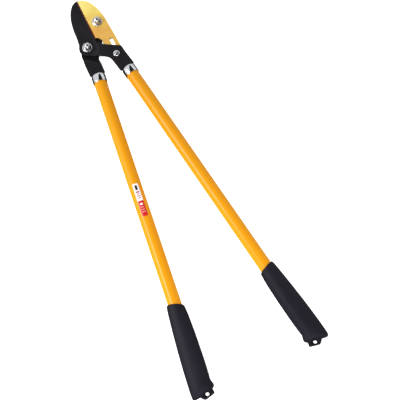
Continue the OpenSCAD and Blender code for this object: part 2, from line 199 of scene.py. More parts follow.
floorMesh = bpy.data.meshes.new("floor")
floorMesh.from_pydata([(-30, -30, 0), (30, -30, 0), (30, 30, 0), (-30, 30, 0)], [], [(0, 1, 2, 3)])
floor = bpy.data.objects.new("floor", floorMesh)
floor.data.materials.append(newMaterial("opal_acrylic_table", Base_Color=linear("#ffffff"), Roughness=0.7,
                                        Emission_Color=(1, 1, 1, 1),
                                        Emission_Strength=studioSettings["floorGlow"])[0])
bpy.context.scene.collection.objects.link(floor)
floor.visible_glossy = False  # bright metal mirrors the dark below the table, not the table
print("studio ready")


# materials
def powderCoatedSteel():
    # satin black powder coat, sprayed and baked: a soft sheen over fine orange peel
    m, t, s = newMaterial("satin_black_powder_coated_steel", Metallic=0.0, IOR=1.5, Specular_IOR_Level=0.14)
    place = addNode(t, "ShaderNodeTexCoord", {}, {}).outputs["Object"]
    peel = addNode(t, "ShaderNodeTexNoise", {}, {"Vector": place, "Scale": 1 / (0.9 * mm), "Detail": 3.0})
    cloud = addNode(t, "ShaderNodeTexNoise", {}, {"Vector": place, "Scale": 1 / (25 * mm), "Detail": 4.0})
    tone = addNode(t, "ShaderNodeValToRGB", {}, {"Fac": cloud.outputs["Fac"]})
    tone.color_ramp.elements[0].position = 0.3
    tone.color_ramp.elements[0].color = linear("#141215")
    tone.color_ramp.elements[1].position = 0.75
    tone.color_ramp.elements[1].color = linear("#1c1a1e")
    rough = addNode(t, "ShaderNodeMapRange", {},
                    {"Value": peel.outputs["Fac"], "To Min": 0.34, "To Max": 0.5})
    bump = addNode(t, "ShaderNodeBump", {},
                   {"Height": peel.outputs["Fac"], "Strength": 0.35, "Distance": 0.02 * mm})
    t.links.new(tone.outputs["Color"], s.inputs["Base Color"])
    t.links.new(rough.outputs["Result"], s.inputs["Roughness"])
    t.links.new(bump.outputs["Normal"], s.inputs["Normal"])
    return m


def goldCoatedSteel():
    # ground tool steel under a thin gold-coloured hard coating, with grinding lines; along the blade a
    # painted highlight makes it paler towards the tip, and it is darker and warmer through the middle and
    # lower down; half metallic, so that it keeps its colour where it mirrors the dark
    m, t, s = newMaterial("gold_coated_ground_steel", Metallic=0.45)
    place = addNode(t, "ShaderNodeTexCoord", {}, {}).outputs["Object"]
    axes = addNode(t, "ShaderNodeSeparateXYZ", {}, {"Vector": place})
    low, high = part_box("cutting_blade")
    share = addNode(t, "ShaderNodeMapRange", {},
                    {"Value": axes.outputs["Y"], "From Min": low.y, "From Max": high.y})
    cloud = addNode(t, "ShaderNodeTexNoise", {}, {"Vector": place, "Scale": 1 / (22 * mm), "Detail": 2.0})
    drift = addNode(t, "ShaderNodeMath", {"operation": "MULTIPLY_ADD"},
                    {0: cloud.outputs["Fac"], 1: 0.5, 2: -0.25})
    along = addNode(t, "ShaderNodeMath", {"operation": "ADD"},
                    {0: share.outputs["Result"], 1: drift.outputs[0]})
    tone = addNode(t, "ShaderNodeValToRGB", {}, {"Fac": along.outputs[0]})
    # the colour along the blade: a painted highlight pales it towards the tip, and the middle is darker
    painted_tip_highlight_ramp = tone.color_ramp
    painted_tip_highlight_ramp.elements[0].position = 0.0
    painted_tip_highlight_ramp.elements[0].color = linear("#e8c25c")
    painted_tip_highlight_ramp.elements[1].position = 1.0
    painted_tip_highlight_ramp.elements[1].color = linear("#fbe98a")
    for position, code in ((0.3, "#e9bd5c"), (0.45, "#e3ac52"), (0.6, "#ebc45e"), (0.82, "#f6df78")):
        painted_tip_highlight_ramp.elements.new(position).color = linear(code)
    lines = addNode(t, "ShaderNodeMapping", {}, {"Vector": place, "Rotation": (0, 0, math.radians(28)),
                                                 "Scale": (1 / (0.35 * mm), 1 / (14 * mm),
                                                           1 / (0.35 * mm))})
    grind = addNode(t, "ShaderNodeTexNoise", {},
                    {"Vector": lines.outputs["Vector"], "Scale": 1.0, "Detail": 2.0})
    rough = addNode(t, "ShaderNodeMapRange", {},
                    {"Value": grind.outputs["Fac"], "To Min": 0.24, "To Max": 0.4})
    bump = addNode(t, "ShaderNodeBump", {},
                   {"Height": grind.outputs["Fac"], "Strength": 0.25, "Distance": 0.02 * mm})
    t.links.new(tone.outputs["Color"], s.inputs["Base Color"])
    t.links.new(rough.outputs["Result"], s.inputs["Roughness"])
    t.links.new(bump.outputs["Normal"], s.inputs["Normal"])
    return m


def metalFinish(name, dark, light, grain, rough, stretch=(1, 1, 1)):
    # bare or plated metal: a noise of the given grain in mm varies its tone, roughness and surface a little
    m, t, s = newMaterial(name, Metallic=1.0)
    place = addNode(t, "ShaderNodeTexCoord", {}, {}).outputs["Object"]
    scale = tuple(1 / (grain * mm * k) for k in stretch)
    spread = addNode(t, "ShaderNodeMapping", {}, {"Vector": place, "Scale": scale})
    noise = addNode(t, "ShaderNodeTexNoise", {},
                    {"Vector": spread.outputs["Vector"], "Scale": 1.0, "Detail": 3.0})
    tone = addNode(t, "ShaderNodeMix", {"data_type": "RGBA"},
                   {"Factor": noise.outputs["Fac"], "A": linear(dark), "B": linear(light)})
    gloss = addNode(t, "ShaderNodeMapRange", {},
                    {"Value": noise.outputs["Fac"], "To Min": rough[0], "To Max": rough[1]})
    bump = addNode(t, "ShaderNodeBump", {},
                   {"Height": noise.outputs["Fac"], "Strength": 0.05, "Distance": 0.01 * mm})
    t.links.new(tone.outputs["Result"], s.inputs["Base Color"])
    t.links.new(gloss.outputs["Result"], s.inputs["Roughness"])
    t.links.new(bump.outputs["Normal"], s.inputs["Normal"])
    return m


def yellowEnamel():
    # stoved enamel on steel tube: deep yellow-orange with a hard gloss and a very low orange peel
    m, t, s = newMaterial("yellow_orange_stoved_enamel", Metallic=0.0, IOR=1.5, Specular_IOR_Level=0.22)
    place = addNode(t, "ShaderNodeTexCoord", {}, {}).outputs["Object"]
    axes = addNode(t, "ShaderNodeSeparateXYZ", {}, {"Vector": place})
    low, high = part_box("left_tube")
    share = addNode(t, "ShaderNodeMapRange", {},
                    {"Value": axes.outputs["Y"], "From Min": low.y, "From Max": high.y})
    # painted shade: the enamel is darker towards the head end, where less light falls on the tube
    tone = addNode(t, "ShaderNodeMix", {"data_type": "RGBA"},
                   {"Factor": share.outputs["Result"], "A": linear("#ea9a00"), "B": linear("#d08a00")})
    peel = addNode(t, "ShaderNodeTexNoise", {}, {"Vector": place, "Scale": 1 / (2.5 * mm), "Detail": 2.0})
    rough = addNode(t, "ShaderNodeMapRange", {},
                    {"Value": peel.outputs["Fac"], "To Min": 0.24, "To Max": 0.34})
    bump = addNode(t, "ShaderNodeBump", {},
                   {"Height": peel.outputs["Fac"], "Strength": 0.12, "Distance": 0.03 * mm})
    t.links.new(tone.outputs["Result"], s.inputs["Base Color"])
    t.links.new(rough.outputs["Result"], s.inputs["Roughness"])
    t.links.new(bump.outputs["Normal"], s.inputs["Normal"])
    return m


def mouldedRubber():
    # soft thermoplastic rubber, moulded against a spark-eroded tool: matt, blue-black, with an even fine
    # grain
    m, t, s = newMaterial("matt_moulded_rubber", Metallic=0.0, IOR=1.5, Specular_IOR_Level=0.14)
    place = addNode(t, "ShaderNodeTexCoord", {}, {}).outputs["Object"]
    grain = addNode(t, "ShaderNodeTexVoronoi", {}, {"Vector": place, "Scale": 1 / (0.8 * mm)})
    cloud = addNode(t, "ShaderNodeTexNoise", {}, {"Vector": place, "Scale": 1 / (30 * mm), "Detail": 5.0})
    tone = addNode(t, "ShaderNodeMix", {"data_type": "RGBA"},
                   {"Factor": cloud.outputs["Fac"], "A": linear("#17151d"), "B": linear("#1f1d27")})
    rough = addNode(t, "ShaderNodeMapRange", {},
                    {"Value": cloud.outputs["Fac"], "To Min": 0.5, "To Max": 0.66})
    # a patch of coarser dimples where the left palm rests: dots within 12 mm of its middle, faded out by 16
    # mm
    middle = headAt + mm * np.array((-85.2, -544.7, 14.0))
    reach = addNode(t, "ShaderNodeVectorMath", {"operation": "DISTANCE"}, {0: place, 1: middle.tolist()})
    patch = addNode(t, "ShaderNodeMapRange", {}, {"Value": reach.outputs["Value"], "From Min": 12 * mm,
                                                  "From Max": 16 * mm, "To Min": 1.0, "To Max": 0.0})
    dots = addNode(t, "ShaderNodeTexVoronoi", {},
                   {"Vector": place, "Scale": 1 / (3 * mm), "Randomness": 0.3})
    dimple = addNode(t, "ShaderNodeMath", {"operation": "MULTIPLY"},
                     {0: dots.outputs["Distance"], 1: patch.outputs["Result"]})
    relief = addNode(t, "ShaderNodeBump", {},
                     {"Height": dimple.outputs[0], "Strength": 0.8, "Distance": 0.5 * mm})
    bump = addNode(t, "ShaderNodeBump", {}, {"Height": grain.outputs["Distance"], "Strength": 0.4,
                                             "Distance": 0.05 * mm, "Normal": relief.outputs["Normal"]})
    t.links.new(tone.outputs["Result"], s.inputs["Base Color"])
    t.links.new(rough.outputs["Result"], s.inputs["Roughness"])
    t.links.new(bump.outputs["Normal"], s.inputs["Normal"])
    return m


def mouldedNylon():
    # glass-filled nylon: dark, faintly speckled and half matt
    m, t, s = newMaterial("dark_moulded_nylon", Metallic=0.0, IOR=1.53)
    place = addNode(t, "ShaderNodeTexCoord", {}, {}).outputs["Object"]
    fleck = addNode(t, "ShaderNodeTexNoise", {}, {"Vector": place, "Scale": 1 / (0.6 * mm), "Detail": 4.0})
    tone = addNode(t, "ShaderNodeMix", {"data_type": "RGBA"},
                   {"Factor": fleck.outputs["Fac"], "A": linear("#303032"), "B": linear("#444446")})
    rough = addNode(t, "ShaderNodeMapRange", {},
                    {"Value": fleck.outputs["Fac"], "To Min": 0.42, "To Max": 0.6})
    t.links.new(tone.outputs["Result"], s.inputs["Base Color"])
    t.links.new(rough.outputs["Result"], s.inputs["Roughness"])
    return m


# Bars on the printed band, as shares of its length from the head and of its width: start, end, left, right,
# colour
bandSettings = {
    "split": 0.53,  # share of the length that is white
    "white": "#efe6ea",
    "red": "#c8191c",
    "bars": [(0.05, 0.2, 0.3, 0.72, "#2c2730"), (0.24, 0.28, 0.2, 0.8, "#7d2f44"),
             (0.31, 0.335, 0.25, 0.75, "#8c4356"),
             (0.37, 0.395, 0.2, 0.8, "#8c4356"), (0.43, 0.455, 0.25, 0.75, "#8c4356"),
             (0.6, 0.66, 0.25, 0.75, "#f1dcdc"),
             (0.72, 0.735, 0.2, 0.8, "#eec4c4"), (0.79, 0.805, 0.2, 0.8, "#eec4c4"),
             (0.86, 0.875, 0.2, 0.8, "#eec4c4")],
}


def printedFilm(s):
    # glossy self-adhesive film: a white field, a red field and plain bars, placed by the band's own UV map
    m, t, shader = newMaterial("printed_self_adhesive_film", Metallic=0.0, IOR=1.48, Coat_Weight=0.4)
    grid = addNode(t, "ShaderNodeTexCoord", {}, {}).outputs["UV"]
    axes = addNode(t, "ShaderNodeSeparateXYZ", {}, {"Vector": grid})
    ink = addNode(t, "ShaderNodeTexNoise", {}, {"Vector": grid, "Scale": 60.0, "Detail": 2.0})

    def above(socket, edge):
        return addNode(t, "ShaderNodeMath", {"operation": "GREATER_THAN"}, {0: socket, 1: edge}).outputs[0]

    def mixed(factor, a, b):
        return addNode(t, "ShaderNodeMix", {"data_type": "RGBA"},
                       {"Factor": factor, "A": a, "B": b}).outputs["Result"]

    colour = mixed(above(axes.outputs["X"], s["split"]), linear(s["white"]), linear(s["red"]))
    for start, end, left, right, code in s["bars"]:
        inside = above(axes.outputs["X"], start)
        for axis, edge, below in (("X", end, True), ("Y", left, False), ("Y", right, True)):
            step = above(axes.outputs[axis], edge)
            if below:
                step = addNode(t, "ShaderNodeMath", {"operation": "SUBTRACT"}, {0: 1.0, 1: step}).outputs[0]
            inside = addNode(t, "ShaderNodeMath", {"operation": "MULTIPLY"},
                             {0: inside, 1: step}).outputs[0]
        colour = mixed(inside, colour, linear(code))
    rough = addNode(t, "ShaderNodeMapRange", {},
                    {"Value": ink.outputs["Fac"], "To Min": 0.22, "To Max": 0.34})
    t.links.new(colour, shader.inputs["Base Color"])
    t.links.new(rough.outputs["Result"], shader.inputs["Roughness"])
    return m


finish = {
    "black_arm": powderCoatedSteel(),
    "gold_blade": goldCoatedSteel(),
    # rolled brass strip, coloured a dark reddish brown, with marks along it
    "anvil_brass": metalFinish("dark_reddish_rolled_brass", "#6b3020", "#a05a34", 1.2, (0.35, 0.55),
                               (1, 8, 1)),
    # turned phosphor bronze, with fine rings
    "bush_bronze": metalFinish("turned_phosphor_bronze", "#96733a", "#c09c5c", 0.6, (0.22, 0.4), (6, 6, 1)),
    # turned and hardened steel
    "roller_steel": metalFinish("turned_hardened_steel", "#77777b", "#a2a2a6", 0.5, (0.2, 0.38), (6, 6, 1)),
    "insert_nylon": mouldedNylon(),
    "tube_enamel": yellowEnamel(),
    "grip_rubber": mouldedRubber(),
    "band_film": printedFilm(bandSettings),
    # bright chrome plate on a pressed cap: a hard mirror with a trace of haze
    "ferrule_chrome": metalFinish("bright_chrome_plate", "#cfd2d8", "#e6e8ec", 6.0, (0.05, 0.12)),
    # drawn steel wire
    "pin_steel": metalFinish("drawn_steel", "#8c8c90", "#b4b4b8", 0.5, (0.25, 0.42), (1, 1, 8)),
    # chromed nuts and screws, a little less polished than the ferrules
    "hardware_chrome": metalFinish("chromed_fastener_steel", "#c4c6ca", "#dfe0e4", 3.0, (0.14, 0.22)),
}
for part in frame["record"]["subparts"]:
    cadNode = nodes[part["node"]]
    cadNode.data.materials.clear()
    cadNode.data.materials.append(finish[part["material_slot"]])
print("materials ready:", len(finish))


# mesh tools
def rounded(corners, closed=False, steps=6):
    # corners (x, y, r): each becomes the quadratic curve from r before it to r after it, bent towards the
    # corner
    p = np.array([c[:2] for c in corners], float)
    n = len(p)
    out = []
    for i, c in enumerate(corners):
        if len(c) < 3 or (not closed and i in (0, n - 1)):
            out.append(p[i:i + 1])
            continue
        sides = [p[i - 1] - p[i], p[(i + 1) % n] - p[i]]
        ends = [p[i] + d * min(c[2] / np.linalg.norm(d), 0.48) for d in sides]
        share = np.linspace(0, 1, steps)[:, None]
        out.append(ends[0] * (1 - share) ** 2 + 2 * p[i] * share * (1 - share) + ends[1] * share ** 2)
    return np.concatenate(out)


def gridMesh(name, points, loopRows=False):
    # points in rows of rings: each face joins four neighbours, rings close on themselves, and rows too if
    # asked
    rows, columns = points.shape[:2]
    at = np.arange(rows * columns).reshape(rows, columns)
    faces = np.stack([at, np.roll(at, -1, 1), np.roll(np.roll(at, -1, 1), -1, 0), np.roll(at, -1, 0)], -1)
    if not loopRows:
        faces = faces[:-1]
    mesh = bpy.data.meshes.new(name)
    mesh.from_pydata(points.reshape(-1, 3).tolist(), [], faces.reshape(-1, 4).tolist())
    return cleaned(mesh)


def cleaned(mesh):
    # doubles merged, so poles and seams close, and faces turned outwards
    bm = bmesh.new()
    bm.from_mesh(mesh)
    bmesh.ops.remove_doubles(bm, verts=bm.verts, dist=0.002 * mm)
    bmesh.ops.dissolve_degenerate(bm, edges=bm.edges, dist=0.002 * mm)
    bmesh.ops.recalc_face_normals(bm, faces=bm.faces)
    bm.to_mesh(mesh)
    bm.free()
    return mesh


def prism(name, outline, low, high):
    # a closed outline carried straight up from low to high, with flat ends
    bm = bmesh.new()
    rings = [[bm.verts.new((x, y, z)) for x, y in outline] for z in (low, high)]
    n = len(outline)
    for i in range(n):
        bm.faces.new((rings[0][i], rings[0][(i + 1) % n], rings[1][(i + 1) % n], rings[1][i]))
    bm.faces.new(rings[0][::-1])
    bm.faces.new(rings[1])
    bmesh.ops.recalc_face_normals(bm, faces=bm.faces)
    mesh = bpy.data.meshes.new(name)
    bm.to_mesh(mesh)
    bm.free()
    return mesh


def withModifiers(mesh, modifiers):
    # the mesh after the given modifiers, each (kind, settings); a mesh in the settings becomes a helper
    # object
    helpers = [bpy.data.objects.new(mesh.name, mesh)]
    bpy.context.scene.collection.objects.link(helpers[0])
    for kind, settings in modifiers:
        modifier = helpers[0].modifiers.new(kind, kind)
        for key, value in settings.items():
            if isinstance(value, bpy.types.Mesh):
                helper = bpy.data.objects.new(value.name, value)
                bpy.context.scene.collection.objects.link(helper)
                helpers.append(helper)
                value = helper
            setattr(modifier, key, value)
    result = bpy.data.meshes.new_from_object(helpers[0].evaluated_get(bpy.context.evaluated_depsgraph_get()))
    result.name = mesh.name
    for helper in helpers:
        bpy.data.objects.remove(helper)
    return result


def boolean(operation, other):
    return "BOOLEAN", {"operation": operation, "solver": "EXACT", "object": other}


def addPiece(name, mesh, node, sharp=30.0):
    # a piece that stands for a CAD node: it rides on the node's body and wears its material slot
    piece = bpy.data.objects.new(name, mesh)
    bpy.context.scene.collection.objects.link(piece)
    mesh.polygons.foreach_set("use_smooth", np.ones(len(mesh.polygons), bool))
    mesh.set_sharp_from_angle(angle=math.radians(sharp))
    slotName = next(p["material_slot"] for p in frame["record"]["subparts"] if p["node"] == node)
    mesh.materials.clear()
    mesh.materials.append(finish[slotName])
    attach(piece, nodes[node]["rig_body"])
    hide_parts(node)
    return piece


turns = 96


def around(count=turns):
    return np.linspace(0, 2 * math.pi, count, endpoint=False)


# plates: the two arms, the blade and the anvil strip
plateSettings = {
    "left_arm": {"piece": "fixed_arm_plate", "edge": 0.7, "fold": 3.0},
    "jaw_arm": {"piece": "jaw_arm_plate", "edge": 0.7, "fold": 3.0},
    "cutting_blade": {"piece": "blade_plate", "edge": 0.35, "fold": 0.0},
    "anvil_strip": {"piece": "anvil_facing", "edge": 0.15, "fold": 0.0},
}
foldAngles = (25.0, 50.0)   # degrees between the faces at a pressed fold
edgeAngle = 75.0            # and at least this at the edge of a plate


def addPlate(node, s):
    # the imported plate, merged and flattened into whole faces; pressed folds and cut edges are then rounded
    bm = bmesh.new()
    bm.from_mesh(nodes[node].data)
    bmesh.ops.remove_doubles(bm, verts=bm.verts, dist=0.002 * mm)
    bmesh.ops.dissolve_limit(bm, angle_limit=math.radians(0.5), verts=bm.verts, edges=bm.edges)
    weight = bm.edges.layers.float.new("bevel_weight_edge")
    widest = max(s["edge"], s["fold"])
    for edge in bm.edges:
        angle = math.degrees(edge.calc_face_angle(0))
        if angle > edgeAngle:
            edge[weight] = s["edge"] / widest
        elif foldAngles[0] < angle < foldAngles[1] and s["fold"] > 0:
            edge[weight] = s["fold"] / widest
    mesh = bpy.data.meshes.new(s["piece"])
    bm.to_mesh(mesh)
    bm.free()
    piece = addPiece(s["piece"], mesh, node, sharp=20.0)
    bevel = piece.modifiers.new("rounding", "BEVEL")
    bevel.limit_method = "WEIGHT"
    bevel.width = widest * mm
    bevel.segments = 3
    bevel.use_clamp_overlap = False
    bevel.harden_normals = True
    weld = piece.modifiers.new("weld", "WELD")   # joins points that the bevel leaves almost together
    weld.merge_threshold = 0.01 * mm
    normals = piece.modifiers.new("normals", "WEIGHTED_NORMAL")
    normals.keep_sharp = True


for plateNode, plate in plateSettings.items():
    addPlate(plateNode, plate)
print("plates ready:", len(plateSettings))

# pivots: bolts, washers and domed nuts
pivotSettings = {
    "boltRadius": 4.0, "headRadius": 8.0, "headHeight": 4.0, "washerRadius": 8.8, "washerThick": 1.6,
    "nutFlats": 13.0, "nutHeight": 5.5, "domeRadius": 5.3, "domeStraight": 1.0, "domeRise": 0.85,
}


def lathe(name, profile, centre, loopRows=False):
    # profile (radius, height) turned about the vertical through centre: r cos a, r sin a, height
    a = around()[None, :]
    r, z = profile[:, :1], profile[:, 1:2]
    points = np.stack([r * np.cos(a), r * np.sin(a), z + 0 * a], -1) * mm
    return gridMesh(name, points + np.array([centre[0], centre[1], headAt[2]]), loopRows)


def nutPoints(profile, flats, centre):
    # rows (radius, height, hexagon share): the radius runs between the circle and the hexagon, which is
    # flats / 2 / cos(angle to the middle of the flat) and has a corner on +X
    a = around(120)[None, :]
    hexagon = flats / 2 / np.cos(a % (math.pi / 3) - math.pi / 6)
    r, z, share = (profile[:, i:i + 1] for i in range(3))
    radius = r * (1 - share) + (hexagon + r - flats / 2) * share
    # corners of the hexagon drop at 30 degrees, as a chamfered nut's do
    drop = np.where(share > 0.5, np.maximum(radius - flats / 2, 0) * math.tan(math.pi / 6), 0)
    high = np.where(z > profile[:, 1].max() * 0.3, z - drop, z)
    points = np.stack([radius * np.cos(a), radius * np.sin(a), high], -1) * mm
    return points + np.array([centre[0], centre[1], headAt[2]])


def addPivot(which, top, s):
    centre = pivotAt[which]
    low = plates["backLow"]
    head = rounded([(0, low - s["headHeight"]), (s["headRadius"] * 0.62, low - s["headHeight"], 1.5),
                    (s["headRadius"], low - s["headHeight"] * 0.55, 2.2), (s["headRadius"], low, 0.4),
                    (s["boltRadius"], low, 0.2),
                    (s["boltRadius"], top + s["washerThick"] + s["nutHeight"] - 0.2, 0.3),
                    (0, top + s["washerThick"] + s["nutHeight"] - 0.2)])
    addPiece(which + "_pivot_bolt_turned", lathe(which + "Bolt", head, centre), which + "_pivot_bolt")
    ring = rounded([(s["boltRadius"] + 0.1, top, 0.2), (s["washerRadius"], top, 0.35),
                    (s["washerRadius"], top + s["washerThick"], 0.7),
                    (s["boltRadius"] + 0.1, top + s["washerThick"], 0.2)], closed=True)
    addPiece(which + "_pivot_washer_turned",
             lathe(which + "Washer", ring, centre, loopRows=True), which + "_pivot_washer")
    seat = top + s["washerThick"]
    a = np.linspace(0, math.pi / 2, 14)
    dome = np.stack([s["domeRadius"] * np.cos(a),
                     s["nutHeight"] + s["domeStraight"] + s["domeRise"] * s["domeRadius"] * np.sin(a),
                     0 * a], -1)
    half = s["nutFlats"] / 2
    rows = np.array([(0, s["nutHeight"] - 0.1, 0), (s["boltRadius"], s["nutHeight"] - 0.1, 0),
                     (s["boltRadius"], 0, 0),
                     (half - 0.4, 0, 0), (half - 0.1, 0.15, 1), (half, 0.4, 1),
                     (half, s["nutHeight"] - 0.5, 1),
                     (half - 0.12, s["nutHeight"] - 0.15, 1), (half - 0.5, s["nutHeight"], 0),
                     (s["domeRadius"] + 0.3, s["nutHeight"], 0),
                     (s["domeRadius"] + 0.07, s["nutHeight"] + 0.1, 0),
                     (s["domeRadius"], s["nutHeight"] + 0.35, 0)])
    rows = np.concatenate([rows, dome])
    rows[:, 1] += seat
    addPiece(which + "_pivot_cap_nut", gridMesh(which + "Nut", nutPoints(rows, s["nutFlats"], centre)),
             which + "_pivot_nut", sharp=35.0)


addPivot("main", plates["jawTop"] + plates["runGap"], pivotSettings)
addPivot("blade", plates["bladeTop"] + plates["runGap"], pivotSettings)

print("pivots ready")

# guide screw, its washer and its nut
guideSettings = {"shank": 2.25, "thread": 2.0, "headRadius": 5.75, "headHeight": 3.0, "slotWide": 1.5,
                 "slotDeep": 1.3,
                 "slotTurn": 10.0, "washerRadius": 6.0, "washerThick": 1.2, "nutFlats": 8.0,
                 "nutHeight": 3.2,
                 "washerTop": -7.8}


def addGuide(s):
    centre, top, seat = pivotAt["guide"], plates["armTop"], s["washerTop"] - s["washerThick"]
    r, h = s["headRadius"], s["headHeight"]
    turned = rounded([(0, seat - s["nutHeight"] - 1), (s["thread"], seat - s["nutHeight"] - 1, 0.4),
                      (s["thread"], s["washerTop"], 0.05), (s["shank"], s["washerTop"], 0.05),
                      (s["shank"], top, 0.05),
                      (r, top, 0.25), (r, top + 0.45 * h, 1.1), (r * 0.62, top + h, 2.4), (0, top + h)])
    a, half = math.radians(s["slotTurn"]), s["slotWide"] / 2
    box = np.array([(-2 * r, -half), (2 * r, -half), (2 * r, half), (-2 * r, half)])
    box = box @ np.array([[math.cos(a), math.sin(a)], [-math.sin(a), math.cos(a)]]) * mm + centre[:2]
    slot = prism("guideSlot", box.tolist(), headAt[2] + (top + h - s["slotDeep"]) * mm,
                 headAt[2] + (top + h + 1) * mm)
    screw = withModifiers(lathe("guideScrew", turned, centre), [boolean("DIFFERENCE", slot)])
    addPiece("guide_screw_turned", cleaned(screw), "guide_screw")
    ring = rounded([(s["thread"], seat, 0.1), (s["washerRadius"], seat, 0.3),
                    (s["washerRadius"], s["washerTop"], 0.3),
                    (s["thread"], s["washerTop"], 0.1)], closed=True)
    addPiece("guide_washer_turned", lathe("guideWasher", ring, centre, loopRows=True), "guide_washer")
    low, flat = seat - s["nutHeight"], s["nutFlats"] / 2
    rows = np.array([(s["thread"], low, 0), (flat - 0.35, low, 0), (flat, low + 0.3, 1),
                     (flat, seat - 0.3, 1),
                     (flat - 0.35, seat, 0), (s["thread"], seat, 0)])
    addPiece("guide_hex_nut", gridMesh("guideNut", nutPoints(rows, s["nutFlats"], centre), loopRows=True),
             "guide_nut")


addGuide(guideSettings)
print("guide ready")

# handles: a place on one is given in mm as inwards, along from the pivot line, and up
handleSettings = {
    "axisX": 18.4, "splay": 7.2, "length": 626.5, "tubeRadius": 11.0, "tubeWall": 1.5, "tubeEnd": 611.5,
    "starts": {"left": 56.6, "right": 65.1}, "cap": 1.6,
    "ferrule": {"length": 16.0, "wall": 1.2, "shoulder": 4.0, "tangWide": 14.1, "tangThick": 5.1},
}


def onHandle(side, mesh, s=handleSettings):
    # turned by the splay, moved to the handle's axis and mirrored for the left, then into the row frame
    p = np.empty(len(mesh.vertices) * 3)
    mesh.vertices.foreach_get("co", p)
    inwards, along, up = p.reshape(-1, 3).T
    a, sign = math.radians(s["splay"]), 1 if side == "right" else -1
    x = sign * (s["axisX"] * mm + along * math.sin(a) - inwards * math.cos(a))
    y = -(along * math.cos(a) + inwards * math.sin(a))
    mesh.vertices.foreach_set("co", (np.stack([x, y, up], -1) + headAt).ravel())
    return cleaned(mesh)


def ringsAlong(name, rows, loopRows=False, count=turns):
    # rows (radius, along): circles about the handle's axis, r cos a inwards and r sin a up
    a = around(count)[None, :]
    r, along = rows[:, :1], rows[:, 1:2]
    return gridMesh(name, np.stack([r * np.cos(a), along + 0 * a, r * np.sin(a)], -1) * mm, loopRows)


def ferruleMesh(name, start, s, tubeRadius, cap):
    # rows (radius, along, share): the radius runs from a circle, at 0, to the oblong opening for the tang,
    # at 1,
    # which is the smaller of half its width / cos a and half its thickness / sin a
    a = around(192)[None, :]
    opening = np.minimum(s["tangWide"] / 2 / np.maximum(np.abs(np.cos(a)), 1e-6),
                         s["tangThick"] / 2 / np.maximum(np.abs(np.sin(a)), 1e-6))
    outer = tubeRadius + s["wall"]
    end = start + s["length"]
    bend = np.linspace(0, math.pi / 2, 12)
    corner = outer - s["shoulder"]
    shoulder = np.stack([corner + s["shoulder"] * np.sin(bend),
                         start + s["shoulder"] * (1 - np.cos(bend)), 0 * bend], -1)
    rows = np.concatenate([[(0, start + cap, 1), (0, start, 1), (corner - 0.2, start, 0)], shoulder,
                           [(outer, end - 0.5, 0), (outer - 0.12, end - 0.15, 0), (outer - 0.45, end, 0),
                            (tubeRadius + 0.1, end, 0), (tubeRadius, end - 0.2, 0),
                            (tubeRadius, start + cap, 0)]])
    r, along, share = (rows[:, i:i + 1] for i in range(3))
    radius = r * (1 - share) + opening * share
    points = np.stack([radius * np.cos(a), along + 0 * a, radius * np.sin(a)], -1) * mm
    return gridMesh(name, points, loopRows=True)


def addHandle(side, s):
    start, r = s["starts"][side], s["tubeRadius"]
    addPiece(side + "_ferrule_pressed",
             onHandle(side, ferruleMesh(side + "Ferrule", start, s["ferrule"], r, s["cap"])),
             side + "_ferrule")
    low, bore = start + s["cap"], r - s["tubeWall"]
    rows = np.array([(bore, low), (r - 0.2, low), (r, low + 0.2), (r, s["tubeEnd"] - 0.2),
                     (r - 0.2, s["tubeEnd"]),
                     (bore, s["tubeEnd"])])
    addPiece(side + "_tube_drawn", onHandle(side, ringsAlong(side + "Tube", rows, loopRows=True)),
             side + "_tube")


for handleSide in ("left", "right"):
    addHandle(handleSide, handleSettings)
print("tubes and ferrules ready")

# the printed band: a thin shell on the upper side of the left tube
bandShape = {"start": 268.0, "length": 58.0, "width": 9.2, "thick": 0.2, "corner": 1.0, "steps": (60, 16)}


def addBand(s, handle):
    # share of the length by share of the width; the width runs as an angle on the tube, and the ends draw
    # in at the
    # corners by corner - sqrt(corner^2 - distance into the corner^2)
    u, v = np.meshgrid(np.linspace(0, 1, s["steps"][0]), np.linspace(-1, 1, s["steps"][1]), indexing="ij")
    into = np.maximum(np.abs(2 * u - 1) * s["length"] / 2 - (s["length"] / 2 - s["corner"]), 0)
    drawn = s["corner"] - np.sqrt(np.maximum(s["corner"] ** 2 - into ** 2, 0))
    across = v * (s["width"] / 2 - drawn)
    layers = []
    for radius in (handle["tubeRadius"] + 0.01, handle["tubeRadius"] + s["thick"]):
        angle = np.arcsin(across / handle["tubeRadius"])
        layers.append(np.stack([radius * np.sin(angle), s["start"] + u * s["length"],
                                radius * np.cos(angle)], -1))
    n, m = s["steps"]
    at = np.arange(n * m).reshape(n, m)
    quads = np.stack([at[:-1, :-1], at[1:, :-1], at[1:, 1:], at[:-1, 1:]], -1).reshape(-1, 4)
    rim = np.concatenate([at[0, :], at[1:, -1], at[-1, -2::-1], at[-2:0:-1, 0]])
    sides = np.stack([rim, np.roll(rim, -1), np.roll(rim, -1) + n * m, rim + n * m], -1)
    faces = np.concatenate([quads, quads[:, ::-1] + n * m, sides])
    mesh = bpy.data.meshes.new("band")
    mesh.from_pydata((np.concatenate([layer.reshape(-1, 3) for layer in layers]) * mm).tolist(), [],
                     faces.tolist())
    uv = np.tile(np.stack([u, (v + 1) / 2], -1).reshape(-1, 2), (2, 1))
    corners = np.empty(len(mesh.loops), int)
    mesh.loops.foreach_get("vertex_index", corners)
    mesh.uv_layers.new(name="UVMap").data.foreach_set("uv", uv[corners].ravel())
    addPiece("printed_band", onHandle("left", mesh), "tube_label")


addBand(bandShape, handleSettings)
print("band ready")

